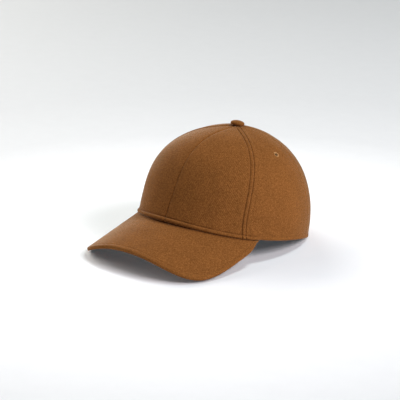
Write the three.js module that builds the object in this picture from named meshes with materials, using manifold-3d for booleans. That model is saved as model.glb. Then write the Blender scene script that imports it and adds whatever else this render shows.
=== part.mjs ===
// A six-panel peaked cap in thick brown wool cloth, standing on a level surface as it rests by itself:
// the back of its rim lies flat and the two low sides of the curved peak hold the front up.
// Millimetres, +Z up. The peak points along -Y and the wearer's left is +X. The origin is on the
// surface, under the middle of the cap. Angles round the crown start at the front and grow to the left.

import * as THREE from 'three';
import { mergeVertices } from 'three/addons/utils/BufferGeometryUtils.js';
import Module from 'manifold-3d';

const wasm = await Module();
wasm.setup();

// Crown, measured on its outside. The rim is two half ellipses about the head's axis.
const HALF_WIDTH = 91.5;
const FRONT_REACH = 95.6;
const BACK_REACH = 98.6;
const CROWN_TOP = 126.5; // height of the crown's top above the surface
const TOP_SETBACK = 22.5; // how far the top lies behind the head's axis, because the cap leans back
const WALL = 2; // cloth with its backing
const TOP_RISE = { height: 0.6, reach: 0.15 }; // cloth gathered under the button, over a share of the reach

// Meridians from the rim to the top: squareness 2 is an ellipse and more is boxier,
// flare is how far the wall leans outward above the rim, as a share of its reach.
const MERIDIANS = {
  front: { squareness: 2.9, flare: -0.146 },
  side: { squareness: 2.33, flare: 0.038 },
  back: { squareness: 1.8, flare: 0.24 },
};

// Height of the rim above the surface, as waves round the crown.
const RIM_WAVES = { mean: 15.8, lean: 26.5, saddle: -1.2, corner: 1.8 };
const RIM_SOFTNESS = 4; // how gently the rim runs into the surface that flattens it

// Seams between the panels, in degrees from the front, at the rim and at the top.
const SEAMS = {
  front: { rim: 0, top: 0 },
  side: { rim: 57, top: 70.5 },
  back: { rim: 117, top: 122 },
  rear: { rim: 180, top: 180 },
};
const SEAM_TURN = 4; // how soon a seam turns from its angle at the rim to its angle at the top
const SEAM_GAP = 0.3; // between two sewn panels
const SEAM_DIP = 0.45; // how far the cloth sinks along a seam
// The felled strip beside each seam behind the front one, at most a share of a narrow row.
const LAP = { width: 4.2, rise: 0.35, mostShare: 0.25 };

// The rolled edge of the crown over the peak, and how the wall above it leans out to the stiff peak.
// Both run out round the peak's ends, from some degrees before them to some degrees after.
const ROLL = { height: 3.5, bulge: 1.4, crease: 0.3, creaseHeight: 2 };
const KICK = { reach: 2.4, height: 40 };
const SWELL_FADE = { before: 5.7, after: 2.9 };
const HEM_ROWS = [0, 0.85, 1.75, 2.65, 3.6, 5.8]; // heights of the panels' lowest rows above the rim

const PANELS = [
  { name: 'crown_front_left', from: 'front', to: 'side', side: 1, eyelet: null },
  { name: 'crown_side_left', from: 'side', to: 'back', side: 1, eyelet: 'eyelet_side_left' },
  { name: 'crown_back_left', from: 'back', to: 'rear', side: 1, eyelet: 'eyelet_back_left' },
  { name: 'crown_back_right', from: 'back', to: 'rear', side: -1, eyelet: 'eyelet_back_right' },
  { name: 'crown_side_right', from: 'side', to: 'back', side: -1, eyelet: 'eyelet_side_right' },
  { name: 'crown_front_right', from: 'front', to: 'side', side: -1, eyelet: null },
];
const BODY_ROWS = 11;
const BODY_COLUMNS = 8;

// Peak: a board covered in cloth, cut to a rounded outline.
// It slopes down towards its tip and bends down towards its sides.
const PEAK = {
  thickness: 4.6,
  corner: 2.2, // rounding of its edge
  mostCorner: 1 / 3, // of a short section
  edgeTurn: 12, // how late its thickness turns sideways towards the side edges
  halfWidth: 90.7,
  widestAt: -66.8, // where along Y it is widest
  length: 60.3, // from the crown's front to the tip
  squareness: 3.58, // of the outline's front
  slope: 0.276, // fall towards the tip for each millimetre
  drop: 34.9, // of its side edges below its ridge
  bendPower: 2.34, // 2 is a parabola and more bends later
  rootHeight: 42, // of its ridge at the crown's front
  endAngle: 66.7, // where it ends on the rim, in degrees from the front
  frontShare: 0.7, // share of its edge that belongs to the rounded front
  sideTaper: 2.4,
  sway: -1.9, // how far the tip drifts to the wearer's right
};
const PEAK_SECTIONS = 40;
const PEAK_ROOT_ROWS = [0, 3, 6]; // distances of its first rows from its root
const ROOT_ROWS_SHARE = 0.4; // of a short section, where they lie closer together
const PEAK_ROWS = 5; // from there to its edge
const EDGE_STEPS = 3; // in each corner of its edge
const FIT_GAP = 0.3; // between pieces that are sewn or riveted together

// Covered button, riveted through the hole where the panels meet.
const BUTTON = { radius: 7.8, height: 4.5, edge: 1.4, lean: 7, sides: 24, domeSteps: 5 };
const SHANK = { radius: 2.1, length: 2.8 };
const TOP_HOLE_RADIUS = 2.9;

// Sewn eyelets, one in each side and back panel.
const EYELET = { outer: 2.9, hole: 1.4, proud: 0.5, climb: 51, across: 0.55, sides: 16 };
const DRILL_LENGTH = 12; // of the hole's cutter, well past both faces of the wall

const CLOTH = { color: 0x8f5c2f, roughness: 0.95, metalness: 0 };
const THREAD = { color: 0xa97645, roughness: 0.8, metalness: 0 };

const ANGLE_STEP = 0.001; // radians between two points that give a slope

const radians = THREE.MathUtils.degToRad;
const mix = THREE.MathUtils.lerp;

// Point of a superellipse in the direction of an angle, as shares of its two axes.
function superellipse(angle, squareness) {
  const along = Math.abs(Math.cos(angle));
  const across = Math.abs(Math.sin(angle));
  const reach = (along ** squareness + across ** squareness) ** (-1 / squareness);
  return { along: reach * along, across: reach * across };
}

function rimPlan(theta, inset = 0) {
  const reach = Math.cos(theta) > 0 ? FRONT_REACH : BACK_REACH;
  return { x: (HALF_WIDTH - inset) * Math.sin(theta), y: -(reach - inset) * Math.cos(theta) };
}

function rimHeight(theta) {
  const { mean, lean, saddle, corner } = RIM_WAVES;
  const free = mean + lean * Math.cos(theta) + saddle * Math.cos(2 * theta) + corner * Math.cos(3 * theta);
  if (free < -RIM_SOFTNESS) return 0;
  if (free > RIM_SOFTNESS) return free;
  return (free + RIM_SOFTNESS) ** 2 / (4 * RIM_SOFTNESS);
}

// Squareness or flare of the meridian at an angle round the crown.
function meridian(theta, property) {
  const facing = Math.cos(theta);
  const end = facing > 0 ? MERIDIANS.front : MERIDIANS.back;
  return mix(MERIDIANS.side[property], end[property], facing ** 2);
}

// Point on the crown: theta goes round it, climb goes from 0 at the rim to a right angle at the top.
function crownPoint(theta, climb, inset = 0) {
  const rim = rimPlan(theta, inset);
  const foot = rimHeight(theta);
  const { along, across } = superellipse(climb, meridian(theta, 'squareness'));
  const reach = along * (1 + meridian(theta, 'flare') * Math.sin(2 * climb));
  const rise = TOP_RISE.height * Math.exp(-((reach / TOP_RISE.reach) ** 2));
  return new THREE.Vector3(
    rim.x * reach,
    mix(TOP_SETBACK, rim.y, reach),
    mix(foot, CROWN_TOP - inset, across) + rise,
  );
}

function crownNormal(theta, climb) {
  const round = crownPoint(theta + ANGLE_STEP, climb).sub(crownPoint(theta - ANGLE_STEP, climb));
  const up = crownPoint(theta, climb + ANGLE_STEP).sub(crownPoint(theta, climb));
  return round.cross(up).normalize();
}

// Climb at which the wall is a given height above the rim.
function climbAt(theta, height) {
  return Math.atan(height / (CROWN_TOP - rimHeight(theta)));
}

// Climb at which the meridian reaches the hole under the button.
function climbAtTop(theta) {
  const rim = rimPlan(theta);
  return Math.acos(TOP_HOLE_RADIUS / Math.hypot(rim.x, rim.y - TOP_SETBACK));
}

function seamAngle(seam, climb) {
  return radians(mix(seam.top, seam.rim, Math.cos(climb) ** SEAM_TURN));
}

// Outward swell of the crown at a height above the rim, over the peak. It runs out past the peak's ends.
function swellOverPeak(theta, height) {
  const kick = KICK.reach * Math.max(0, 1 - height / KICK.height) ** 2;
  const across = (2 * height) / ROLL.height - 1;
  const pastRoll = Math.max(0, 1 - (height - ROLL.height) / ROLL.creaseHeight);
  const roll = across > 1 ? -ROLL.crease * pastRoll : ROLL.bulge * Math.sqrt(1 - across ** 2);
  const past = Math.abs(THREE.MathUtils.radToDeg(theta)) - PEAK.endAngle;
  const fade = 1 - THREE.MathUtils.smoothstep(past, -SWELL_FADE.before, SWELL_FADE.after);
  return fade * (kick + roll);
}

// Closed geometry from an outer and an inner grid of points with the same rows and columns.
function shellGeometry(outer, inner) {
  const rows = outer.length;
  const columns = outer[0].length;
  const positions = [...outer.flat(), ...inner.flat()].flatMap((point) => point.toArray());
  const index = [];
  const quad = (a, b, c, d) => index.push(a, b, c, a, c, d);
  const at = (row, column) => row * columns + column;
  const behind = (row, column) => at(row, column) + rows * columns;
  for (let row = 0; row < rows - 1; row++) {
    for (let column = 0; column < columns - 1; column++) {
      quad(at(row, column), at(row, column + 1), at(row + 1, column + 1), at(row + 1, column));
      const [low, high] = [behind(row, column), behind(row + 1, column)];
      quad(low, high, high + 1, low + 1);
    }
  }
  for (let column = 0; column < columns - 1; column++) {
    const top = rows - 1;
    quad(at(0, column), behind(0, column), behind(0, column + 1), at(0, column + 1));
    quad(at(top, column), at(top, column + 1), behind(top, column + 1), behind(top, column));
  }
  for (let row = 0; row < rows - 1; row++) {
    const last = columns - 1;
    quad(at(row, 0), at(row + 1, 0), behind(row + 1, 0), behind(row, 0));
    quad(at(row, last), behind(row, last), behind(row + 1, last), at(row + 1, last));
  }
  return indexedGeometry(positions, index);
}

function indexedGeometry(positions, index) {
  const geometry = new THREE.BufferGeometry();
  geometry.setAttribute('position', new THREE.Float32BufferAttribute(positions, 3));
  geometry.setIndex(index);
  return geometry;
}

function toSolid(geometry) {
  const bare = geometry.clone();
  bare.deleteAttribute('normal');
  bare.deleteAttribute('uv');
  const merged = mergeVertices(bare);
  const vertProperties = new Float32Array(merged.attributes.position.array);
  const triVerts = new Uint32Array(merged.index.array);
  return new wasm.Manifold(new wasm.Mesh({ numProp: 3, vertProperties, triVerts }));
}

function toGeometry(solid) {
  const { vertProperties, triVerts } = solid.getMesh();
  return indexedGeometry(Array.from(vertProperties), Array.from(triVerts));
}

// Angles of the seams beside a panel, in the order that goes round to the left.
function panelEdges(panel, climb) {
  const angles = [seamAngle(SEAMS[panel.from], climb), seamAngle(SEAMS[panel.to], climb)];
  return panel.side > 0 ? angles : [-angles[1], -angles[0]];
}

// Shares across the panel at which its columns lie: both edges, the felled strips and the cloth between.
function columnShares(width) {
  const strip = Math.min(LAP.width / width, LAP.mostShare);
  const shares = [0];
  for (let column = 0; column <= BODY_COLUMNS; column++) {
    shares.push(mix(strip, 1 - strip, column / BODY_COLUMNS));
  }
  return [...shares, 1];
}

// How far the cloth rises or sinks beside a seam. The front seam is pressed open and has no felled strip.
function seamRelief(seam, share) {
  if (share === 0) return -SEAM_DIP;
  return seam === 'front' ? 0 : LAP.rise;
}

function panelGeometry(panel) {
  const [startSeam, endSeam] = panel.side > 0 ? [panel.from, panel.to] : [panel.to, panel.from];
  const outer = [];
  const inner = [];
  const rowCount = HEM_ROWS.length + BODY_ROWS;
  for (let row = 0; row < rowCount; row++) {
    const climbOf = (theta) => {
      if (row < HEM_ROWS.length) return climbAt(theta, HEM_ROWS[row]);
      const share = (row - HEM_ROWS.length + 1) / BODY_ROWS;
      return mix(climbAt(theta, HEM_ROWS.at(-1)), climbAtTop(theta), share);
    };
    const middleClimb = climbOf(radians((SEAMS[panel.from].rim + SEAMS[panel.to].rim) / 2));
    const [start, end] = panelEdges(panel, middleClimb);
    const speed = (theta) => {
      const next = crownPoint(theta + ANGLE_STEP, middleClimb);
      return next.distanceTo(crownPoint(theta, middleClimb)) / ANGLE_STEP;
    };
    const from = start + SEAM_GAP / 2 / speed(start);
    const to = end - SEAM_GAP / 2 / speed(end);
    const shares = columnShares((to - from) * speed((from + to) / 2));
    const last = shares.length - 1;
    const outerRow = [];
    const innerRow = [];
    shares.forEach((share, column) => {
      const theta = mix(from, to, share);
      const climb = climbOf(theta);
      const height = row < HEM_ROWS.length ? HEM_ROWS[row] : crownPoint(theta, climb).z - rimHeight(theta);
      let lift = swellOverPeak(theta, height);
      if (column <= 1) lift += seamRelief(startSeam, column);
      if (column >= last - 1) lift += seamRelief(endSeam, last - column);
      const normal = crownNormal(theta, climb);
      if (row === 0) normal.setZ(0).normalize();
      outerRow.push(crownPoint(theta, climb).addScaledVector(normal, lift));
      innerRow.push(crownPoint(theta, climb, WALL));
    });
    outer.push(outerRow);
    inner.push(innerRow);
  }
  return shellGeometry(outer, inner);
}

// Where a panel's eyelet sits and which way it faces.
function eyeletPlace(panel) {
  const climb = radians(EYELET.climb);
  const [start, end] = [seamAngle(SEAMS[panel.from], climb), seamAngle(SEAMS[panel.to], climb)];
  const theta = panel.side * mix(start, end, EYELET.across);
  const normal = crownNormal(theta, climb);
  const position = crownPoint(theta, climb).addScaledVector(normal, -WALL / 2);
  const quaternion = new THREE.Quaternion().setFromUnitVectors(new THREE.Vector3(0, 1, 0), normal);
  return { position, quaternion };
}

// A ring of thread that goes through the cloth and stands a little proud of both faces.
function eyeletGeometry() {
  const { outer, hole, proud, sides } = EYELET;
  const half = WALL / 2 + proud;
  const soften = proud;
  const profile = [
    [hole, -half + soften],
    [hole + soften, -half],
    [outer - soften, -half],
    [outer, -half + soften],
    [outer, half - soften],
    [outer - soften, half],
    [hole + soften, half],
    [hole, half - soften],
    [hole, -half + soften],
  ];
  return new THREE.LatheGeometry(profile.map(([r, y]) => new THREE.Vector2(r, y)), sides);
}

function cutEyeletHole(geometry, place) {
  const radius = EYELET.outer + FIT_GAP;
  const drill = new THREE.CylinderGeometry(radius, radius, DRILL_LENGTH, EYELET.sides);
  drill.applyQuaternion(place.quaternion);
  drill.translate(...place.position.toArray());
  return toGeometry(toSolid(geometry).subtract(toSolid(drill)));
}

// Height of the bent surface that the peak follows.
function bendHeight(x, y) {
  const drop = PEAK.drop * (Math.abs(x) / PEAK.halfWidth) ** PEAK.bendPower;
  return PEAK.rootHeight + PEAK.slope * (y + FRONT_REACH) - drop;
}

// The peak's outer edge in plan. Share runs from -1 at the right end to 1 at the left end.
function peakEdge(share) {
  const { halfWidth, widestAt, length, squareness, frontShare, sideTaper, sway } = PEAK;
  const side = Math.sign(share);
  const along = Math.abs(share);
  const end = rimPlan(radians(PEAK.endAngle));
  const edge = { x: 0, y: 0 };
  if (along <= frontShare) {
    const outline = superellipse((along / frontShare) * (Math.PI / 2), squareness);
    edge.x = side * halfWidth * outline.across;
    edge.y = mix(widestAt, -FRONT_REACH - length, outline.along);
  } else {
    const back = (along - frontShare) / (1 - frontShare);
    edge.x = side * mix(halfWidth, end.x, back ** sideTaper);
    edge.y = mix(widestAt, end.y, back);
  }
  edge.x += (sway * (end.y - edge.y)) / (end.y + FRONT_REACH + length);
  return edge;
}

// Point on the peak's upper face: out runs from 0 under the crown's wall to 1 at the edge.
// The face keeps to its own bend, pressed down where the crown's rim lies lower than that.
function peakPoint(share, out) {
  const root = rimPlan(radians(PEAK.endAngle) * share, WALL);
  const edge = peakEdge(share);
  const x = mix(root.x, edge.x, out);
  const y = mix(root.y, edge.y, out);
  const under = rimHeight(Math.atan2(x / HALF_WIDTH, -y / FRONT_REACH)) - FIT_GAP;
  return new THREE.Vector3(x, y, Math.min(bendHeight(x, y), under));
}

// Direction of the peak's thickness. It tilts sideways only near the side edges, where the board is steep.
function throughPeak(x) {
  const outward = Math.abs(x) / PEAK.halfWidth;
  const fall = (PEAK.bendPower * PEAK.drop * outward ** (PEAK.bendPower - 1)) / PEAK.halfWidth;
  const tilt = Math.min(1, outward) ** PEAK.edgeTurn;
  return new THREE.Vector3(Math.sign(x) * fall * tilt, -PEAK.slope, 1).normalize();
}

// One closed section of the peak, from the crown outward over the top, round the edge and back underneath.
function peakSection(share) {
  const root = peakPoint(share, 0);
  const edge = peakPoint(share, 1);
  const length = root.distanceTo(edge);
  const corner = Math.min(PEAK.corner, length * PEAK.mostCorner);
  const outward = edge.clone().sub(root).setLength(corner);
  const flat = length - corner;
  const scale = Math.min(1, (ROOT_ROWS_SHARE * flat) / PEAK_ROOT_ROWS.at(-1));
  const rows = PEAK_ROOT_ROWS.map((distance) => distance * scale);
  const nearest = rows.at(-1);
  for (let row = 1; row <= PEAK_ROWS; row++) {
    rows.push(mix(nearest, flat, row / PEAK_ROWS));
  }
  const top = rows.map((distance) => peakPoint(share, distance / length));
  const under = top.map((point) => point.clone().addScaledVector(throughPeak(point.x), -PEAK.thickness));
  const upward = throughPeak(edge.x).multiplyScalar(corner);
  const upperCorner = [];
  const lowerCorner = [];
  for (let step = 1; step <= EDGE_STEPS; step++) {
    const turn = (step / EDGE_STEPS) * (Math.PI / 2);
    const reach = outward.clone().multiplyScalar(Math.sin(turn));
    const sink = upward.clone().multiplyScalar(Math.cos(turn) - 1);
    upperCorner.push(top.at(-1).clone().add(reach).add(sink));
    lowerCorner.unshift(under.at(-1).clone().add(reach).sub(sink));
  }
  return [...top, ...upperCorner, ...lowerCorner, ...under.reverse()];
}

// Closed geometry through a row of sections with the same number of points.
function loftGeometry(sections) {
  const size = sections[0].length;
  const positions = sections.flat().flatMap((point) => point.toArray());
  const index = [];
  for (let section = 0; section < sections.length - 1; section++) {
    for (let point = 0; point < size; point++) {
      const a = section * size + point;
      const b = section * size + ((point + 1) % size);
      index.push(a, b, b + size, a, b + size, a + size);
    }
  }
  const end = (sections.length - 1) * size;
  for (let point = 1; point < size - 1; point++) {
    index.push(0, point + 1, point);
    index.push(end, end + point, end + point + 1);
  }
  return indexedGeometry(positions, index);
}

function peakGeometry() {
  const sections = [];
  for (let section = 0; section <= PEAK_SECTIONS; section++) {
    sections.push(peakSection((2 * section) / PEAK_SECTIONS - 1));
  }
  return loftGeometry(sections);
}

// The button's dome, its rounded edge and the shank in the hole, turned about its axis.
function buttonGeometry() {
  const { radius, height, edge, sides, domeSteps } = BUTTON;
  const points = [new THREE.Vector2(0, -SHANK.length)];
  points.push(new THREE.Vector2(SHANK.radius, -SHANK.length));
  points.push(new THREE.Vector2(SHANK.radius, 0));
  points.push(new THREE.Vector2(radius - edge, 0));
  points.push(new THREE.Vector2(radius, edge));
  for (let step = 1; step < domeSteps; step++) {
    const turn = (step / domeSteps) * (Math.PI / 2);
    points.push(new THREE.Vector2(radius * Math.cos(turn), edge + (height - edge) * Math.sin(turn)));
  }
  points.push(new THREE.Vector2(0, height));
  return new THREE.LatheGeometry(points, sides);
}

function addMesh(group, name, geometry, look) {
  const mesh = new THREE.Mesh(geometry, new THREE.MeshStandardMaterial(look));
  mesh.name = name;
  group.add(mesh);
  return mesh;
}

const cap = new THREE.Group();

for (const panel of PANELS) {
  if (!panel.eyelet) {
    addMesh(cap, panel.name, panelGeometry(panel), CLOTH);
    continue;
  }
  const place = eyeletPlace(panel);
  addMesh(cap, panel.name, cutEyeletHole(panelGeometry(panel), place), CLOTH);
  const eyelet = addMesh(cap, panel.eyelet, eyeletGeometry(), THREAD);
  eyelet.position.copy(place.position);
  eyelet.quaternion.copy(place.quaternion);
}

addMesh(cap, 'peak', peakGeometry(), CLOTH);

const button = addMesh(cap, 'top_button', buttonGeometry(), CLOTH);
button.position.set(0, TOP_SETBACK, CROWN_TOP + TOP_RISE.height + LAP.rise + FIT_GAP);
button.rotation.x = Math.PI / 2 - radians(BUTTON.lean);

// Centre the cap over the origin.
const bounds = new THREE.Box3().setFromObject(cap);
cap.position.y = -(bounds.min.y + bounds.max.y) / 2;

export default cap;
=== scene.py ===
# A six-panel peaked cap in thick brown wool cloth, resting on a pale floor: the cloth, seams and thread that
# show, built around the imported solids. Metres, in the frame's own axes: the peak points along -Y, the
# wearer's left is +X and the floor is at Z = 0. Angles round the crown start at the front and grow to the
# wearer's left, and climb goes from 0 at the rim to a right angle at the top.

import math

import bpy
import numpy as np
from mathutils import Matrix, Vector, noise


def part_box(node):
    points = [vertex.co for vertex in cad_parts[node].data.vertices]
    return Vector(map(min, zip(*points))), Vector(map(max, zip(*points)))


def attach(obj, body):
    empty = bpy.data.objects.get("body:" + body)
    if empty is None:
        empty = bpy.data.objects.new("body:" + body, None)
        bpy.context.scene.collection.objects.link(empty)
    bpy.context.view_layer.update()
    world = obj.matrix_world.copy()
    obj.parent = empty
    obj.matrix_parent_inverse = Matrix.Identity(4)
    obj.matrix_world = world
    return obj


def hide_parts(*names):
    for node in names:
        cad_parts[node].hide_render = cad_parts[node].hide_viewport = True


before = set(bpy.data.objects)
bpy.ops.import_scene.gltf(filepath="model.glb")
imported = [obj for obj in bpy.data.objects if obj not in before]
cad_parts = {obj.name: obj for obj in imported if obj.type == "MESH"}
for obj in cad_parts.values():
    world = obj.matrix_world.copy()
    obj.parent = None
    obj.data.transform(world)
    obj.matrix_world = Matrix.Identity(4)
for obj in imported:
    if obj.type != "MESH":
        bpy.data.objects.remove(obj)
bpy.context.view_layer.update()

MM = 0.001
BODY = "root"

# Crown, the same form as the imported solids
HALF_WIDTH = 91.5 * MM
FRONT_REACH = 95.6 * MM
BACK_REACH = 98.6 * MM
CROWN_TOP = 126.5 * MM
TOP_SETBACK = 22.5 * MM
WALL = 2 * MM
SQUARENESS = {"front": 2.9, "side": 2.33, "back": 1.8}
FLARE = {"front": -0.146, "side": 0.038, "back": 0.24}
RIM_WAVES = (15.8 * MM, 26.5 * MM, -1.2 * MM, 1.8 * MM)
RIM_SOFTNESS = 4 * MM
TOP_HOLE_RADIUS = 2.9 * MM
TOP_RISE = 0.6 * MM
TOP_RISE_REACH = 0.15

# Seams: angle from the front in degrees, at the rim and at the top
SEAMS = {"front": (0, 0), "side": (57, 70.5), "back": (117, 122), "rear": (180, 180)}
SEAM_TURN = 4

# Panels: name, seam at each side and side of the cap
PANELS = (
    ("front_left", "front", "side", 1),
    ("side_left", "side", "back", 1),
    ("back_left", "back", "rear", 1),
    ("back_right", "back", "rear", -1),
    ("side_right", "side", "back", -1),
    ("front_right", "front", "side", -1),
)

# Relief beside the seams
SEAM_DIP = 0.6 * MM
SEAM_DIP_WIDTH = 0.55 * MM
QUIET_SEAM_SHARE = 0.6
CENTRE_DIP = 1.2 * MM
CENTRE_DIP_WIDTH = 0.6 * MM
CENTRE_HOLLOW = 0.25 * MM
CENTRE_HOLLOW_WIDTH = 4 * MM
LAP_WIDTH = 4.1 * MM
LAP_RISE = 0.5 * MM
LAP_SHOULDER = (0.1 * MM, 1.2 * MM)
LAP_FOOT = 0.9 * MM
GROOVE_DEPTH = 0.58 * MM
GROOVE_WIDTH = 0.62 * MM
GROOVE_PUCKER = 0.45
SEAM_ZONE = 5.6 * MM
SEAM_ZONE_SHARE = 0.47
ALLOWANCE_RISE = 0.15 * MM
ALLOWANCE_START = 1 * MM
ALLOWANCE_EDGE = 4.5 * MM
ALLOWANCE_DIP = 0.12 * MM
ALLOWANCE_DIP_WIDTH = 0.7 * MM

# Rolled edge over the peak and hem round the rest of the rim
ROLL_HEIGHT = 3.5 * MM
ROLL_BULGE = 1.4 * MM
ROLL_TWIST = 0.11 * MM
ROLL_TWIST_PITCH = 5.2 * MM
ROLL_TWIST_SLANT = 1.1
ROLL_TWIST_DRIFT = 3
ROLL_TWIST_DRIFT_WAVES = 9
HEM_BULGE = 0.45 * MM
HEM_GROOVE = 0.12 * MM
ROLL_GROOVE = 0.65 * MM
ROLL_GROOVE_WIDTH = 0.45 * MM
ROLL_GROOVE_PUCKER = 0.1
HEM_STITCH_HEIGHT = 4.1 * MM
HEM_ZONE = 9 * MM
EDGE_ROUND = 0.9 * MM
KICK_REACH = 2.4 * MM
KICK_HEIGHT = 40 * MM
ROLL_FADE_BEFORE = 0.1
ROLL_FADE_AFTER = 0.05

# Peak
PEAK_THICKNESS = 4.6 * MM
PEAK_CORNER = 2.2 * MM
PEAK_EDGE_TURN = 12
PEAK_HALF_WIDTH = 90.7 * MM
PEAK_WIDEST_AT = -66.8 * MM
PEAK_LENGTH = 60.3 * MM
PEAK_SQUARENESS = 3.58
PEAK_SLOPE = 0.276
PEAK_DROP = 34.9 * MM
PEAK_BEND_POWER = 2.34
PEAK_ROOT_HEIGHT = 42 * MM
PEAK_END_ANGLE = math.radians(66.7)
PEAK_FRONT_SHARE = 0.7
PEAK_SIDE_TAPER = 2.4
PEAK_SWAY = -1.9 * MM
PEAK_SEAM_DEPTH = 0.3 * MM
PEAK_SEAM_AT = 0.6
PEAK_SEAM_WIDTH = 0.07
PEAK_LINE_INSET = 3.4 * MM
PEAK_LINE_DEPTH = 0.35 * MM
PEAK_LINE_WIDTH = 0.5 * MM
PEAK_ROOT_FADE = (0.1, 0.4)
PEAK_RIM_FADE = (0.02, 0.15)
ROOT_TUCK = 0.6 * MM
ROOT_TUCK_REACH = 2.2 * MM
ROOT_TUCK_START = 0.3 * ROOT_TUCK_REACH
PEAK_END_THINNING = 0.6
PEAK_END_REACH = 0.1
FIT_GAP = 0.3 * MM

# Button, with its lip as shares of its radius and of its edge's height
BUTTON_RADIUS = 7.8 * MM
BUTTON_HEIGHT = 4.5 * MM
BUTTON_EDGE = 1.4 * MM
BUTTON_LIP = ((1.0, 0.4), (0.985, 0.0), (0.94, -0.25), (0.84, -0.2), (0.7, 0.0))
BUTTON_LEAN = math.radians(9.5)
BUTTON_SIDE_LEAN = math.radians(3)
BUTTON_SEAT = TOP_RISE + 0.65 * MM
SHANK_RADIUS = 2.1 * MM
SHANK_LENGTH = 2.8 * MM
BUTTON_POLE = 0.001 * BUTTON_RADIUS
SHANK_POLE = 0.02 * MM

# Eyelets, with a thread's way from the hole outward: share of the ring's width, and height
EYELET_RADIUS = 3.1 * MM
EYELET_HOLE = 2.15 * MM
EYELET_CLIMB = math.radians(51)
EYELET_ACROSS = 0.55
EYELET_THREADS = 30
EYELET_THREAD_RADIUS = 0.22 * MM
EYELET_SWING = 0.05
EYELET_SWING_STEP = 5
EYELET_SHARES = np.array([0.0, 0.03, 0.25, 0.55, 0.8, 0.95, 1.0])
EYELET_HEIGHTS = np.array([-0.7, 0.5, 1.05, 1.4, 1.35, 1.05, 0.5]) * MM
DRILL_MARGIN = 0.3 * MM
DRILL_DEPTH = 8 * WALL
DRILL_SIDES = 32

# Stitches, with the way of one: share of its length, lift and thickness as shares of the thread's radius
STITCH_LENGTH = 2.7 * MM
STITCH_PITCH = 3.3 * MM
STITCH_RADIUS = 0.24 * MM
STITCH_SHARES = np.array([0, 0.14, 0.35, 0.65, 0.86, 1.0])
STITCH_LIFTS = np.array([-1.3, 0.25, 0.75, 0.75, 0.25, -1.3])
STITCH_SIZES = np.array([0.5, 0.95, 1, 1, 0.95, 0.5])
STITCH_SINK = 0.8
LAP_STITCH_LEVELS = np.linspace(-0.4, 0.93, 260)
RIM_STITCH_POINTS = 500
THREAD_SIDES = 6
THREAD_STEEP = 0.9

# Soft unevenness of the cloth: rise, size and seed of each noise
WALL_WAVES = ((0.35 * MM, 38 * MM, 3), (0.12 * MM, 11 * MM, 8))
WALL_WAVES_START = (2 * MM, 14 * MM)
PEAK_WAVES = ((0.16 * MM, 30 * MM, 5), (0.07 * MM, 10 * MM, 2))
BUTTON_WAVES = ((0.18 * MM, 5 * MM, 4),)

# Grids, with the columns close together beside a seam
EDGE_STEPS = np.array([0, 0.2, 0.42, 0.68, 1, 1.4, 1.9, 2.5, 3.1, 3.6, 3.9, 4.15, 4.4, 4.65, 5, 5.6]) * MM
MIDDLE_COLUMNS = 64
BODY_ROWS = 140
ROLL_ROWS = 12
HEM_ROWS = 14
WIDTH_SAMPLES = 24
PEAK_SECTIONS = 240
PEAK_ROWS = 72
PEAK_CROWDING = 1.7
PEAK_CORNER_PARTS = 3
EDGE_TURNS = 24
BUTTON_SIDES = 72
BUTTON_ROWS = 16
ANGLE_STEP = 0.001
SEAM_STEP = 0.002
SEAM_PASSES = 5


def mix(low, high, share):
    return low + (high - low) * share


def smoothstep(value, low, high):
    share = np.clip((value - low) / (high - low), 0, 1)
    return share * share * (3 - 2 * share)


def bell(value, width):
    return np.exp(-((value / width) ** 2))


def superellipse(angle, squareness):
    along = np.abs(np.cos(angle))
    across = np.abs(np.sin(angle))
    reach = (along**squareness + across**squareness) ** (-1 / squareness)
    return reach * along, reach * across


def unit(vectors):
    return vectors / np.linalg.norm(vectors, axis=-1, keepdims=True)


def turns(count):
    return np.linspace(0, 2 * np.pi, count + 1)[:-1]


def rim_plan(theta, inset=0.0):
    reach = np.where(np.cos(theta) > 0, FRONT_REACH, BACK_REACH) - inset
    return (HALF_WIDTH - inset) * np.sin(theta), -reach * np.cos(theta)


# How much of the peak is under the rim at an angle: 1 over it and 0 past its ends
def over_peak(theta):
    return 1 - smoothstep(np.abs(theta), PEAK_END_ANGLE - ROLL_FADE_BEFORE, PEAK_END_ANGLE + ROLL_FADE_AFTER)


def rim_height(theta):
    free = sum(wave * np.cos(order * theta) for order, wave in enumerate(RIM_WAVES))
    eased = (free + RIM_SOFTNESS) ** 2 / (4 * RIM_SOFTNESS)
    return np.where(free < -RIM_SOFTNESS, 0, np.where(free > RIM_SOFTNESS, free, eased))


# Value at an angle, eased between those of the front, the side and the back
def meridian(theta, values):
    facing = np.cos(theta)
    end = np.where(facing > 0, values["front"], values["back"])
    return mix(values["side"], end, facing**2)


# Point on the crown's wall, before it is placed over the frame
def crown_point(theta, climb, inset=0.0):
    x, y = rim_plan(theta, inset)
    along, across = superellipse(climb, meridian(theta, SQUARENESS))
    reach = along * (1 + meridian(theta, FLARE) * np.sin(2 * climb))
    height = mix(rim_height(theta), CROWN_TOP - inset, across) + TOP_RISE * bell(reach, TOP_RISE_REACH)
    return np.stack([x * reach, mix(TOP_SETBACK, y, reach), height], axis=-1)


def crown_normal(theta, climb):
    round_it = crown_point(theta + ANGLE_STEP, climb) - crown_point(theta - ANGLE_STEP, climb)
    up = crown_point(theta, climb + ANGLE_STEP) - crown_point(theta, climb)
    return unit(np.cross(round_it, up))


def climb_at(theta, height):
    return np.arctan(height / (CROWN_TOP - rim_height(theta)))


def climb_at_top(theta):
    x, y = rim_plan(theta)
    return np.arccos(TOP_HOLE_RADIUS / np.hypot(x, y - TOP_SETBACK))


# Climb at a level: -1 is the rim, 0 the upper end of the hem zone and 1 the hole under the button
def climb_at_level(theta, level):
    low = climb_at(theta, HEM_ZONE * np.minimum(1 + level, 1))
    return mix(low, climb_at_top(theta), np.maximum(level, 0))


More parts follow.
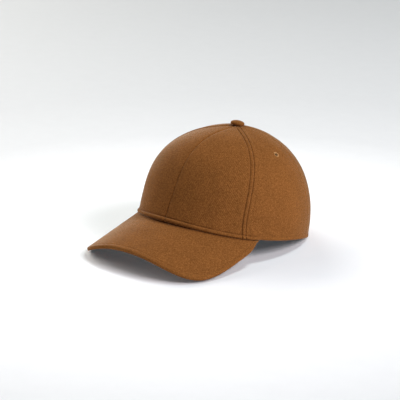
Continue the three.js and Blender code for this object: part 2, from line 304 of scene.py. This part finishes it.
def seam_angle(seam, climb):
    rim, top = SEAMS[seam]
    return np.radians(mix(top, rim, np.cos(climb) ** SEAM_TURN))


def seam_at_level(seam, level):
    theta = np.radians(SEAMS[seam][0] + 0 * level)
    for _ in range(SEAM_PASSES):
        theta = seam_angle(seam, climb_at_level(theta, level))
    return theta


def place_of_eyelet(start, end, side):
    low = seam_angle(start, EYELET_CLIMB)
    high = seam_angle(end, EYELET_CLIMB)
    theta = side * mix(low, high, EYELET_ACROSS)
    normal = crown_normal(theta, EYELET_CLIMB)
    return crown_point(theta, EYELET_CLIMB) - normal * WALL / 2, normal


def box_centre(node):
    low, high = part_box(node)
    return (low + high) / 2


# The head's axis, found from an eyelet's place in the frame
AXIS_Y = box_centre("eyelet_side_left").y - place_of_eyelet("side", "back", 1)[0][1]
TO_FRAME = np.array([0.0, AXIS_Y, 0.0])


def soft_noise(points, size, seed):
    shift = Vector((seed, 2 * seed, 3 * seed))
    flat = points.reshape(-1, 3) / size
    values = [noise.noise(Vector(point) + shift) for point in flat]
    return np.array(values).reshape(points.shape[:-1])


def cloth_waves(points, waves):
    return sum(rise * soft_noise(points, size, seed) for rise, size, seed in waves)


# How far a wall draws in at a height where its edge is rounded
def edge_tuck(height):
    rounding = np.clip(1 - height / EDGE_ROUND, 0, 1)
    return EDGE_ROUND * (1 - np.sqrt(1 - rounding**2))


# Swell and shrink of a groove between the stitches
def puckers(along, share):
    return 1 + share * np.sin(2 * np.pi * along / STITCH_PITCH)


# Slanting puckers of the roll, whose phase drifts round the rim
def roll_twist(theta, height, along):
    drift = ROLL_TWIST_DRIFT * np.sin(ROLL_TWIST_DRIFT_WAVES * theta)
    return np.sin(2 * np.pi * (along - ROLL_TWIST_SLANT * height) / ROLL_TWIST_PITCH + drift)


# Outward swell of the wall near the rim: the rolled edge over the peak, the flat hem elsewhere
def hem_relief(theta, height, along):
    over = over_peak(theta)
    across = np.clip(2 * height / ROLL_HEIGHT - 1, -1, 1)
    bead = np.sqrt(1 - across**2)
    kick = KICK_REACH * np.maximum(0, 1 - height / KICK_HEIGHT) ** 2 * over
    bulge = (mix(HEM_BULGE, ROLL_BULGE, over) + ROLL_TWIST * over * roll_twist(theta, height, along)) * bead
    depth = mix(HEM_GROOVE, ROLL_GROOVE, over) * puckers(along, ROLL_GROOVE_PUCKER)
    groove = depth * bell(height - HEM_STITCH_HEIGHT, ROLL_GROOVE_WIDTH)
    return kick + bulge - groove - edge_tuck(height) * (1 - over)


# Relief of the cloth at a distance from a seam and a length along it: the centre seam
def plain_seam(distance, along):
    hollow = CENTRE_HOLLOW * bell(distance, CENTRE_HOLLOW_WIDTH)
    return -CENTRE_DIP * np.exp(-distance / CENTRE_DIP_WIDTH) - hollow


def quiet_seam(distance, along):
    return -SEAM_DIP * QUIET_SEAM_SHARE * bell(distance, SEAM_DIP_WIDTH)


# The felled strip with its stitched groove, on the front panel
def lapped_seam(distance, along):
    strip = smoothstep(distance, *LAP_SHOULDER) - smoothstep(distance, LAP_WIDTH - LAP_FOOT, LAP_WIDTH)
    groove = GROOVE_DEPTH * bell(distance - LAP_WIDTH, GROOVE_WIDTH) * puckers(along, GROOVE_PUCKER)
    return LAP_RISE * strip - groove - SEAM_DIP * bell(distance, SEAM_DIP_WIDTH)


# The side panel beside that seam, raised by the seam allowance under it
def under_lap(distance, along):
    rise = ALLOWANCE_RISE * (1 - smoothstep(distance, ALLOWANCE_START, SEAM_ZONE))
    dip = ALLOWANCE_DIP * bell(distance - ALLOWANCE_EDGE, ALLOWANCE_DIP_WIDTH)
    return rise - dip - SEAM_DIP * bell(distance, SEAM_DIP_WIDTH)


# Relief beside the first and the second seam of a panel
SEAM_RELIEF = {
    ("front", "side"): (plain_seam, lapped_seam),
    ("side", "back"): (under_lap, quiet_seam),
    ("back", "rear"): (quiet_seam, quiet_seam),
}


# Levels of the panels' rows, close together over the roll and the stitch line
def row_levels():
    roll = ROLL_HEIGHT / 2 * (1 - np.cos(np.linspace(0, np.pi, ROLL_ROWS)))
    hem = np.linspace(ROLL_HEIGHT, HEM_ZONE, HEM_ROWS)[1:]
    low = np.concatenate([roll, hem]) / HEM_ZONE - 1
    return np.concatenate([low, np.linspace(0, 1, BODY_ROWS)[1:]])


# How much the seams' relief is narrowed where a panel gets too narrow for it
def seam_scale(width):
    return np.minimum(1, SEAM_ZONE_SHARE * width / SEAM_ZONE)


# Distances from the first seam of every point of a panel's grid, and the seam scale of each row
def column_distances(width):
    scale = seam_scale(width)[:, None]
    near = EDGE_STEPS[None, :] * scale
    middle = np.linspace(0, 1, MIDDLE_COLUMNS)[None, 1:-1]
    between = mix(near[:, -1:], width[:, None] - near[:, -1:], middle)
    far = width[:, None] - near[:, ::-1]
    return np.concatenate([near, between, far], axis=1), scale


def row_widths(start, end, level):
    share = np.linspace(0, 1, WIDTH_SAMPLES)[None, :]
    theta = mix(start[:, None], end[:, None], share)
    line = crown_point(theta, climb_at_level(theta, level[:, None]))
    return np.linalg.norm(np.diff(line, axis=1), axis=2).sum(axis=1)


def length_along(points):
    steps = np.linalg.norm(np.diff(points, axis=0), axis=-1)
    return np.concatenate([np.zeros_like(steps[:1]), np.cumsum(steps, axis=0)])


# Outer and inner grid of a panel, rows from the rim up, and its cloth coordinates
def panel_grids(start_seam, end_seam, side):
    level = row_levels()
    start = seam_at_level(start_seam, level)
    end = seam_at_level(end_seam, level)
    width = row_widths(start, end, level)
    distance, scale = column_distances(width)
    theta = mix(start[:, None], end[:, None], distance / width[:, None])
    climb = climb_at_level(theta, level[:, None])
    wall = crown_point(theta, climb)
    up_seam = length_along(wall)
    round_rim = length_along(wall.transpose(1, 0, 2)).T
    height = np.where(level[:, None] < 0, HEM_ZONE * (1 + level[:, None]), wall[..., 2] - rim_height(theta))
    mirror = np.array([side, 1, 1])
    relief_start, relief_end = SEAM_RELIEF[(start_seam, end_seam)]
    lift = hem_relief(theta, height, round_rim)
    lift += relief_start(distance / scale, up_seam) * scale
    lift += relief_end((width[:, None] - distance) / scale, up_seam) * scale
    lift += cloth_waves(wall * mirror, WALL_WAVES) * smoothstep(height, *WALL_WAVES_START)
    normal = crown_normal(theta, climb)
    # The lowest row moves level, so the rim keeps its height
    at_rim = level[:, None, None] == -1
    normal = np.where(at_rim, unit(normal * np.array([1, 1, 0])), normal)
    outer = (wall + normal * lift[..., None]) * mirror
    inner = (crown_point(theta, climb, WALL) + normal * edge_tuck(height)[..., None]) * mirror
    uv = np.stack([distance - width[:, None] / 2, up_seam], axis=-1)
    if side < 0:
        outer, inner, uv = outer[:, ::-1], inner[:, ::-1], uv[:, ::-1]
    return outer + TO_FRAME, inner + TO_FRAME, uv


# Faces between the rows and columns of a grid whose first vertex is given
def grid_faces(rows, columns, first=0, flip=False):
    index = first + np.arange(rows * columns).reshape(rows, columns)
    corners = [index[:-1, :-1], index[:-1, 1:], index[1:, 1:], index[1:, :-1]]
    if flip:
        corners.reverse()
    return np.stack(corners, axis=-1).reshape(-1, 4)


# Faces between two rows of vertex numbers
def strip_faces(first, second):
    return np.stack([first[:-1], first[1:], second[1:], second[:-1]], axis=-1)


# Vertex numbers of rows that close on themselves
def closed_rows(rows, columns, first=0):
    index = first + np.arange(rows * columns).reshape(rows, columns)
    return np.concatenate([index, index[:, :1]], axis=1)


# Faces round a tube through closed rows of vertex numbers, with a face at each end
def tube_faces(closed):
    strips = [strip_faces(closed[k + 1], closed[k]) for k in range(len(closed) - 1)]
    faces = [list(face) for face in np.concatenate(strips)]
    return faces + [list(closed[0, :-1]), list(closed[-1, -2::-1])]


def new_object(name, vertices, faces, material):
    mesh = bpy.data.meshes.new(name)
    mesh.from_pydata(vertices.reshape(-1, 3).tolist(), [], [list(map(int, face)) for face in faces])
    mesh.update()
    mesh.shade_smooth()
    mesh.materials.append(material)
    thing = bpy.data.objects.new(name, mesh)
    bpy.context.scene.collection.objects.link(thing)
    return thing


def add_cloth_map(thing, uv):
    layer = thing.data.uv_layers.new(name="cloth")
    loops = np.zeros(len(thing.data.loops), int)
    thing.data.loops.foreach_get("vertex_index", loops)
    layer.data.foreach_set("uv", (uv.reshape(-1, 2) / MM)[loops].astype(np.float32).ravel())


def settle(thing, slot, *nodes):
    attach(thing, BODY)
    if nodes:
        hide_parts(*nodes)


def shell_object(name, outer, inner, uv, material):
    rows, columns = outer.shape[:2]
    back = rows * columns
    front_index = np.arange(back).reshape(rows, columns)
    back_index = front_index + back
    faces = np.concatenate([
        grid_faces(rows, columns),
        grid_faces(rows, columns, back, flip=True),
        strip_faces(back_index[0], front_index[0]),
        strip_faces(front_index[-1], back_index[-1]),
        strip_faces(front_index[:, 0], back_index[:, 0]),
        strip_faces(back_index[:, -1], front_index[:, -1]),
    ])
    thing = new_object(name, np.concatenate([outer.reshape(-1, 3), inner.reshape(-1, 3)]), faces, material)
    add_cloth_map(thing, np.concatenate([uv.reshape(-1, 2), uv.reshape(-1, 2)]))
    return thing


# Cut a round hole through a piece
def drill(thing, centre, normal, radius):
    turn = Vector(normal).to_track_quat("Z", "Y").to_matrix().to_4x4()
    ring = [(radius * math.cos(angle), radius * math.sin(angle)) for angle in turns(DRILL_SIDES)]
    vertices = [(x, y, z) for z in (-DRILL_DEPTH / 2, DRILL_DEPTH / 2) for x, y in ring]
    low, high = closed_rows(2, DRILL_SIDES).tolist()
    faces = [[low[k], low[k + 1], high[k + 1], high[k]] for k in range(DRILL_SIDES)]
    faces += [low[-2::-1], high[:-1]]
    mesh = bpy.data.meshes.new("drill")
    mesh.from_pydata(vertices, [], faces)
    cutter = bpy.data.objects.new("drill", mesh)
    cutter.matrix_world = Matrix.Translation(centre) @ turn
    bpy.context.scene.collection.objects.link(cutter)
    cut = thing.modifiers.new("hole", "BOOLEAN")
    cut.object = cutter
    cut.operation = "DIFFERENCE"
    cut.solver = "EXACT"
    bpy.context.view_layer.update()
    result = bpy.data.meshes.new_from_object(thing.evaluated_get(bpy.context.evaluated_depsgraph_get()))
    thing.modifiers.clear()
    thing.data = result
    bpy.data.objects.remove(cutter)


# Height of the peak's upper face, which falls forward and bends down to the sides
def bend_height(x, y):
    drop = PEAK_DROP * (np.abs(x) / PEAK_HALF_WIDTH) ** PEAK_BEND_POWER
    return PEAK_ROOT_HEIGHT + PEAK_SLOPE * (y + FRONT_REACH) - drop


# Outline of the peak, with share from -1 at one end through 0 at the tip to 1 at the other end
def peak_edge(share):
    along = np.abs(share)
    end_x, end_y = rim_plan(PEAK_END_ANGLE)
    reach_y, reach_x = superellipse(np.minimum(along / PEAK_FRONT_SHARE, 1) * np.pi / 2, PEAK_SQUARENESS)
    back = np.clip((along - PEAK_FRONT_SHARE) / (1 - PEAK_FRONT_SHARE), 0, 1)
    in_front = along <= PEAK_FRONT_SHARE
    side_x = mix(PEAK_HALF_WIDTH, end_x, back**PEAK_SIDE_TAPER)
    x = np.sign(share) * np.where(in_front, PEAK_HALF_WIDTH * reach_x, side_x)
    tip = -FRONT_REACH - PEAK_LENGTH
    y = np.where(in_front, mix(PEAK_WIDEST_AT, tip, reach_y), mix(PEAK_WIDEST_AT, end_y, back))
    return x + PEAK_SWAY * (end_y - y) / (end_y - tip), y


# Point on the peak's upper face, with out from 0 under the crown to 1 at the edge
def peak_point(share, out):
    theta = PEAK_END_ANGLE * share
    root_x, root_y = rim_plan(theta, WALL)
    edge_x, edge_y = peak_edge(share)
    x = mix(root_x, edge_x, out)
    y = mix(root_y, edge_y, out)
    foot = rim_height(np.arctan2(x / HALF_WIDTH, -y / FRONT_REACH)) - FIT_GAP
    return np.stack([x, y, np.minimum(bend_height(x, y), foot)], axis=-1)


# Direction up through the board, which leans with its bend only near the sides
def through_peak(x):
    outward = np.abs(x) / PEAK_HALF_WIDTH
    slope = np.sign(x) * PEAK_BEND_POWER * PEAK_DROP / PEAK_HALF_WIDTH * outward ** (PEAK_BEND_POWER - 1)
    tilt = np.minimum(1, outward) ** PEAK_EDGE_TURN
    return unit(np.stack([slope * tilt, np.full_like(x, -PEAK_SLOPE), np.ones_like(x)], axis=-1))


# Round edge of the peak with the seam of its under cloth: shares outward and down from the upper face
def edge_profile():
    turn = np.linspace(0, np.pi, EDGE_TURNS + 1)[1:-1]
    deep = (1 - np.cos(turn)) / 2
    return np.sin(turn) - PEAK_SEAM_DEPTH / PEAK_CORNER * bell(deep - PEAK_SEAM_AT, PEAK_SEAM_WIDTH), deep


# Relief of the peak's upper face: soft waves, the tuck under the crown and the line inside the edge
def peak_relief(top, out, from_edge):
    from_root = smoothstep(out, *PEAK_ROOT_FADE)
    waves = cloth_waves(top, PEAK_WAVES) * from_root * smoothstep(1 - out, *PEAK_RIM_FADE)
    outside = (np.hypot(top[..., 0] / HALF_WIDTH, top[..., 1] / FRONT_REACH) - 1) * HALF_WIDTH
    tuck = ROOT_TUCK * (1 - smoothstep(outside, ROOT_TUCK_START, ROOT_TUCK_REACH))
    line = PEAK_LINE_DEPTH * bell(from_edge - PEAK_LINE_INSET, PEAK_LINE_WIDTH) * from_root
    return waves - tuck - line


# Sections of the peak from end to end, each out over its top, round its edge and back under it
def peak_grid():
    share = np.linspace(-1, 1, PEAK_SECTIONS + 1)[:, None]
    root = peak_point(share, 0.0)
    edge = peak_point(share, 1.0)
    length = np.linalg.norm(edge - root, axis=-1)
    corner = np.minimum(PEAK_CORNER, length / PEAK_CORNER_PARTS)
    crowded = 1 - (1 - np.linspace(0, 1, PEAK_ROWS)) ** PEAK_CROWDING
    out = crowded[None, :] * (1 - corner / length)
    top = peak_point(share, out)
    relief = peak_relief(top, out, (1 - out) * length - corner)
    ends = smoothstep(1 - np.abs(share), 0, PEAK_END_REACH)
    thickness = PEAK_THICKNESS * mix(1 - PEAK_END_THINNING, 1, ends)[..., None]
    up = through_peak(top[..., 0])
    outward = unit(edge - root) * corner[..., None]
    edge_up = through_peak(edge[..., 0]) * thickness
    far, deep = edge_profile()
    turned = top[:, -1:] + outward * far[None, :, None] - edge_up * deep[None, :, None]
    under = top - up * thickness
    return np.concatenate([top + up * relief[..., None], turned, under[:, ::-1]], axis=1)


def build_peak(material):
    sections = peak_grid() + TO_FRAME
    count, size = sections.shape[:2]
    around = length_along(sections.transpose(1, 0, 2)).T
    thing = new_object("peak_cloth", sections, tube_faces(closed_rows(count, size)[::-1]), material)
    add_cloth_map(thing, np.stack([sections[..., 0], around], axis=-1))
    settle(thing, "cloth", "peak")


# Radius and height of the button's rings: the dome, the lip where the cloth is drawn in and the shank
def button_outline():
    turn = np.linspace(0, np.pi / 2, BUTTON_ROWS)
    radius = np.maximum(BUTTON_RADIUS * np.sin(turn), BUTTON_POLE)
    dome = np.stack([radius, mix(BUTTON_EDGE, BUTTON_HEIGHT, np.cos(turn))], axis=-1)
    lip = np.array(BUTTON_LIP) * [BUTTON_RADIUS, BUTTON_EDGE]
    shank = [(SHANK_RADIUS, 0), (SHANK_RADIUS, -SHANK_LENGTH), (SHANK_POLE, -SHANK_LENGTH)]
    return np.concatenate([dome, lip, shank])


def build_button(material):
    outline = button_outline()
    radius = outline[:, :1]
    height = outline[:, 1:]
    angle = turns(BUTTON_SIDES)
    points = np.stack([radius * np.cos(angle), radius * np.sin(angle), height + 0 * angle], axis=-1)
    points[..., 2] += cloth_waves(points, BUTTON_WAVES) * (height > BUTTON_EDGE)
    lean = np.array(Matrix.Rotation(BUTTON_SIDE_LEAN, 3, "Y") @ Matrix.Rotation(-BUTTON_LEAN, 3, "X"))
    seat = np.array([0, TOP_SETBACK, CROWN_TOP + BUTTON_SEAT])
    placed = points @ lean.T + seat + TO_FRAME
    faces = tube_faces(closed_rows(len(outline), BUTTON_SIDES))
    thing = new_object("button_cloth", placed, faces, material)
    add_cloth_map(thing, points[..., :2])
    settle(thing, "cloth", "top_button")


# Vertices and faces of a thread that follows a line of points with a radius at each
def thread_tube(line, radii, first):
    along = unit(np.gradient(line, axis=0))
    guide = np.where(np.abs(along[:, 2:]) > THREAD_STEEP, [[1.0, 0, 0]], [[0, 0, 1.0]])
    across = unit(np.cross(along, guide))
    over = np.cross(across, along)
    turn = turns(THREAD_SIDES)[None, :, None]
    ring = across[:, None] * np.cos(turn) + over[:, None] * np.sin(turn)
    vertices = line[:, None] + ring * radii[:, None, None]
    return vertices.reshape(-1, 3), tube_faces(closed_rows(len(line), THREAD_SIDES, first))


def threads_object(name, threads, material):
    vertices = []
    faces = []
    count = 0
    for line, radii in threads:
        tube, sides = thread_tube(line, radii, count)
        vertices.append(tube)
        faces += sides
        count += len(tube)
    return new_object(name, np.concatenate(vertices), faces, material)


def values_at(at, length, values):
    return np.stack([np.interp(at, length, values[:, axis]) for axis in range(3)], axis=-1)


# Stitches along a line on the cloth: each rises out of it, lies in the groove and dives back
def stitches_along(line, normal):
    length = length_along(line)
    stitches = []
    for k in range(int(length[-1] / STITCH_PITCH)):
        at = k * STITCH_PITCH + STITCH_SHARES * STITCH_LENGTH
        lift = unit(values_at(at, length, normal)) * (STITCH_LIFTS * STITCH_RADIUS)[:, None]
        stitches.append((values_at(at, length, line) + lift, STITCH_SIZES * STITCH_RADIUS))
    return stitches


# The stitch line in the groove of the felled strip, from the hem to the button
def lap_stitches(side):
    level = LAP_STITCH_LEVELS
    seam = seam_at_level("side", level)
    beside = seam - SEAM_STEP
    at_seam = crown_point(seam, climb_at_level(seam, level))
    at_step = crown_point(beside, climb_at_level(beside, level))
    speed = np.linalg.norm(at_seam - at_step, axis=-1) / SEAM_STEP
    scale = seam_scale(row_widths(seam_at_level("front", level), seam, level))
    theta = seam - LAP_WIDTH * scale / speed
    climb = climb_at_level(theta, level)
    wall = crown_point(theta, climb)
    normal = crown_normal(theta, climb)
    height = wall[:, 2] - rim_height(theta)
    lift = hem_relief(theta, height, 0 * height) - GROOVE_DEPTH * STITCH_SINK * scale
    mirror = np.array([side, 1, 1])
    return stitches_along((wall + normal * lift[:, None]) * mirror + TO_FRAME, normal * mirror)


# The stitch line above the rolled edge, from one end of the peak to the other
def rim_stitches():
    theta = np.linspace(-PEAK_END_ANGLE, PEAK_END_ANGLE, RIM_STITCH_POINTS)
    climb = climb_at(theta, HEM_STITCH_HEIGHT)
    normal = crown_normal(theta, climb)
    lift = hem_relief(theta, np.full_like(theta, HEM_STITCH_HEIGHT), 0 * theta)
    line = crown_point(theta, climb) + normal * lift[:, None]
    return stitches_along(line + TO_FRAME, normal)


# Ring of threads that run over the cloth from the hole outward
def build_eyelet(name, node, centre, normal, material):
    turn = np.array(Vector(normal).to_track_quat("Z", "Y").to_matrix())
    radius = mix(EYELET_HOLE, EYELET_RADIUS, EYELET_SHARES)
    radii = np.full(len(radius), EYELET_THREAD_RADIUS)
    threads = []
    for k, angle in enumerate(turns(EYELET_THREADS)):
        swing = angle + EYELET_SWING * math.sin(EYELET_SWING_STEP * k)
        line = np.stack([radius * math.cos(swing), radius * math.sin(swing), EYELET_HEIGHTS], axis=-1)
        threads.append((line @ turn.T + centre, radii))
    settle(threads_object(name, threads, material), "thread", node)


# Noises of the materials: scale, detail and roughness
WOOL_CLOUD = (60, 2, 0.6)
WOOL_MOTTLE = (680, 3, 0.75)
WOOL_FIBRE = (2200, 2, 0.7)
THREAD_STRANDS = (2600, 2, 0.6)
FLOOR_GRAIN = (40, 3, 0.6)

# Thick fulled wool: tones of its mottle, drift and flecks, and relief of its mottle, fibres and twill
WOOL_TONES = (
    (0.3, (0.136, 0.0495, 0.0117)),
    (0.5, (0.225, 0.0857, 0.0214)),
    (0.7, (0.325, 0.132, 0.0355)),
)
WOOL_DRIFT = ((0.3, (0.95, 0.95, 0.95)), (0.7, (1.05, 1.05, 1.05)))
WOOL_FLECKS = ((0.35, (0.86, 0.85, 0.84)), (0.6, (1.1, 1.1, 1.1)))
TWILL = {"Scale": 0.24, "Distortion": 1.5, "Detail": 1, "Detail Scale": 0.6}
MOTTLE_RELIEF = 0.6
FIBRE_RELIEF = 0.5
TWILL_RELIEF = 0.35
WOOL_BUMP = (0.6, 0.5 * MM)
WOOL_ROUGHNESS = 0.86
FIBRE_ROUGHNESS = 0.12
WOOL_SURFACE = {
    "Specular IOR Level": 0.03,
    "Sheen Weight": 0.5,
    "Sheen Roughness": 0.25,
    "Sheen Tint": (0.95, 0.8, 0.58, 1),
}

# Twisted thread with a slight sheen: darkest and lightest tone of each kind
SEAM_THREAD_TONES = ((0.15, 0.054, 0.013), (0.22, 0.082, 0.02))
EYELET_THREAD_TONES = ((0.6, 0.32, 0.125), (0.8, 0.48, 0.21))
THREAD_STOPS = (0.35, 0.65)
THREAD_BUMP = (0.5, 0.1 * MM)
THREAD_SURFACE = {"Roughness": 0.7, "Specular IOR Level": 0.1}

# Pale table top with painted light: a faint bluish painted glow that lifts the shadows, and lightness
# painted whiter near the object and darker away from it, given at shares of the reach of its fade
FLOOR_PAINTED_LIGHT_REACH = 2.0
FLOOR_PAINTED_LIGHT_TONES = (
    (0.0, 0.97), (0.1, 0.97), (0.15, 0.88), (0.24, 0.68),
    (0.35, 0.6), (0.5, 0.55), (0.7, 0.49), (1.0, 0.42),
)
FLOOR_BLUE = 1.005
FLOOR_GRAIN_TONES = ((0.3, (0.98, 0.98, 0.98)), (0.7, (1, 1, 1)))
FLOOR_SURFACE_AND_GLOW = {"Roughness": 0.7, "Emission Color": (0.036, 0.051, 0.061, 1), "Emission Strength": 1}
FLOOR_HALF = 9.0
FLOOR_POINTS = 13


def set_inputs(node, values):
    for name, value in values.items():
        node.inputs[name].default_value = value


def noise_node(tree, vector, scale, detail, roughness):
    made = tree.nodes.new("ShaderNodeTexNoise")
    set_inputs(made, {"Scale": scale, "Detail": detail, "Roughness": roughness})
    tree.links.new(vector, made.inputs["Vector"])
    return made.outputs["Fac"]


def math_node(tree, operation, first, second):
    made = tree.nodes.new("ShaderNodeMath")
    made.operation = operation
    for socket, value in zip(made.inputs, (first, second)):
        if isinstance(value, (int, float)):
            socket.default_value = value
        else:
            tree.links.new(value, socket)
    return made.outputs[0]


def ramp_node(tree, value, stops):
    made = tree.nodes.new("ShaderNodeValToRGB")
    ramp = made.color_ramp
    while len(ramp.elements) < len(stops):
        ramp.elements.new(0.5)
    for element, (place, colour) in zip(ramp.elements, stops):
        element.position = place
        element.color = (*colour, 1)
    tree.links.new(value, made.inputs["Fac"])
    return made.outputs["Color"]


def multiply_colours(tree, first, second):
    made = tree.nodes.new("ShaderNodeMix")
    made.data_type = "RGBA"
    made.blend_type = "MULTIPLY"
    share, below, above = (socket for socket in made.inputs if socket.enabled)
    share.default_value = 1
    tree.links.new(first, below)
    tree.links.new(second, above)
    return next(socket for socket in made.outputs if socket.enabled)


def add_bump(tree, shader, height, strength, distance):
    made = tree.nodes.new("ShaderNodeBump")
    set_inputs(made, {"Strength": strength, "Distance": distance})
    tree.links.new(height, made.inputs["Height"])
    tree.links.new(made.outputs["Normal"], shader.inputs["Normal"])


def new_material(name):
    material = bpy.data.materials.new(name)
    material.use_nodes = True
    return material, material.node_tree, material.node_tree.nodes["Principled BSDF"]


# Diagonal ribs of the weave, from 0 between them to 1 on their backs
def twill_node(tree):
    cloth = tree.nodes.new("ShaderNodeUVMap")
    cloth.uv_map = "cloth"
    ribs = tree.nodes.new("ShaderNodeTexWave")
    ribs.bands_direction = "DIAGONAL"
    set_inputs(ribs, TWILL)
    tree.links.new(cloth.outputs["UV"], ribs.inputs["Vector"])
    return ribs.outputs["Fac"]


# Mottled brown fibres over a faint twill
def wool_material():
    material, tree, shader = new_material("brown_wool")
    place = tree.nodes.new("ShaderNodeTexCoord").outputs["Object"]
    cloud = noise_node(tree, place, *WOOL_CLOUD)
    mottle = noise_node(tree, place, *WOOL_MOTTLE)
    fibre = noise_node(tree, place, *WOOL_FIBRE)
    base = ramp_node(tree, mottle, WOOL_TONES)
    drifting = multiply_colours(tree, base, ramp_node(tree, cloud, WOOL_DRIFT))
    colour = multiply_colours(tree, drifting, ramp_node(tree, fibre, WOOL_FLECKS))
    tree.links.new(colour, shader.inputs["Base Color"])
    lumps = math_node(tree, "MULTIPLY", mottle, MOTTLE_RELIEF)
    hairs = math_node(tree, "MULTIPLY", fibre, FIBRE_RELIEF)
    ribs = math_node(tree, "MULTIPLY", twill_node(tree), TWILL_RELIEF)
    nap = math_node(tree, "ADD", math_node(tree, "ADD", lumps, hairs), ribs)
    add_bump(tree, shader, nap, *WOOL_BUMP)
    rough = math_node(tree, "ADD", math_node(tree, "MULTIPLY", fibre, FIBRE_ROUGHNESS), WOOL_ROUGHNESS)
    tree.links.new(rough, shader.inputs["Roughness"])
    set_inputs(shader, WOOL_SURFACE)
    return material


def thread_material(name, tones):
    material, tree, shader = new_material(name)
    place = tree.nodes.new("ShaderNodeTexCoord").outputs["Object"]
    strands = noise_node(tree, place, *THREAD_STRANDS)
    colour = ramp_node(tree, strands, tuple(zip(THREAD_STOPS, tones)))
    tree.links.new(colour, shader.inputs["Base Color"])
    add_bump(tree, shader, strands, *THREAD_BUMP)
    set_inputs(shader, THREAD_SURFACE)
    return material


# Pale floor with painted light: whiter near the object and less white away from it
def floor_material():
    material, tree, shader = new_material("pale_floor")
    place = tree.nodes.new("ShaderNodeTexCoord").outputs["Object"]
    grain = ramp_node(tree, noise_node(tree, place, *FLOOR_GRAIN), FLOOR_GRAIN_TONES)
    reach = tree.nodes.new("ShaderNodeVectorMath")
    reach.operation = "LENGTH"
    tree.links.new(place, reach.inputs[0])
    share = math_node(tree, "DIVIDE", reach.outputs["Value"], FLOOR_PAINTED_LIGHT_REACH)
    # painted light: the floor's colour is whiter near the object and darker away from it
    stops = tuple((at, (level, level, level * FLOOR_BLUE)) for at, level in FLOOR_PAINTED_LIGHT_TONES)
    colour = multiply_colours(tree, ramp_node(tree, share, stops), grain)
    tree.links.new(colour, shader.inputs["Base Color"])
    # painted glow: the floor gives off a faint bluish light that lifts the shadows
    set_inputs(shader, FLOOR_SURFACE_AND_GLOW)
    return material


# Camera at the photograph's angle to the cap
CAMERA_AZIMUTH = math.radians(41.684)
CAMERA_ELEVATION = math.radians(16.974)
CAMERA_DISTANCE = 1.8
CAMERA_TARGET = Vector((0, AXIS_Y, 50 * MM))
SENSOR = 36
PIXELS_PER_MM = 0.894
FRAME_PIXELS = 400
SHIFT = (-0.0599, -0.01165)


def direction(azimuth, elevation):
    level = math.cos(elevation)
    return Vector((math.sin(azimuth) * level, -math.cos(azimuth) * level, math.sin(elevation)))


def build_camera():
    data = bpy.data.cameras.new("camera")
    data.sensor_width = SENSOR
    data.lens = SENSOR * PIXELS_PER_MM * CAMERA_DISTANCE / MM / FRAME_PIXELS
    data.shift_x, data.shift_y = SHIFT
    camera = bpy.data.objects.new("camera", data)
    back = direction(CAMERA_AZIMUTH, CAMERA_ELEVATION)
    camera.location = CAMERA_TARGET + back * CAMERA_DISTANCE
    camera.rotation_euler = (-back).to_track_quat("-Z", "Y").to_euler()
    bpy.context.scene.collection.objects.link(camera)
    bpy.context.scene.camera = camera


# Softboxes: name, azimuth and elevation in degrees, distance, size, power in watts and colour
SOFTBOXES = (
    ("right", 97, 34, 4.5, 2.0, 168, (1, 0.95, 1)),
    ("high_back", 150, 64, 4.5, 1.0, 68, (1, 1.12, 1.14)),
    ("left", 257, 22, 4.5, 4.2, 252, (1, 0.98, 0.92)),
    ("front_left", 300, 34, 4.5, 3.0, 40, (1, 0.93, 0.92)),
)
WORLD = {"Color": (1, 0.98, 0.95, 1), "Strength": 0.015}


def build_lights():
    for name, azimuth, elevation, distance, size, power, colour in SOFTBOXES:
        data = bpy.data.lights.new(name, "AREA")
        data.size = size
        data.energy = power
        data.color = colour
        light = bpy.data.objects.new(name, data)
        towards = direction(math.radians(azimuth), math.radians(elevation))
        light.location = CAMERA_TARGET + towards * distance
        light.rotation_euler = (-towards).to_track_quat("-Z", "Y").to_euler()
        bpy.context.scene.collection.objects.link(light)
    world = bpy.data.worlds.new("studio")
    world.use_nodes = True
    set_inputs(world.node_tree.nodes["Background"], WORLD)
    bpy.context.scene.world = world
    bpy.context.scene.view_settings.view_transform = "Standard"


def build_floor():
    side = np.linspace(-FLOOR_HALF, FLOOR_HALF, FLOOR_POINTS)
    x, y = np.meshgrid(side, side)
    faces = grid_faces(FLOOR_POINTS, FLOOR_POINTS)
    floor = new_object("floor", np.stack([x, y, 0 * x], axis=-1), faces, floor_material())


def build_cap():
    wool = wool_material()
    seam_thread = thread_material("seam_thread", SEAM_THREAD_TONES)
    eyelet_thread = thread_material("eyelet_thread", EYELET_THREAD_TONES)
    for name, start, end, side in PANELS:
        outer, inner, uv = panel_grids(start, end, side)
        panel = shell_object("panel_" + name, outer, inner, uv, wool)
        if start != "front":
            centre, normal = place_of_eyelet(start, end, side)
            centre = centre + TO_FRAME
            drill(panel, centre, normal, EYELET_HOLE + DRILL_MARGIN)
            build_eyelet("thread_eyelet_" + name, "eyelet_" + name, centre, normal, eyelet_thread)
        settle(panel, "cloth", "crown_" + name)
    build_peak(wool)
    build_button(wool)
    for side, word in ((1, "left"), (-1, "right")):
        settle(threads_object("seam_stitches_" + word, lap_stitches(side), seam_thread), "thread")
    settle(threads_object("rim_stitches", rim_stitches(), seam_thread), "thread")


build_cap()
build_floor()
build_camera()
build_lights()
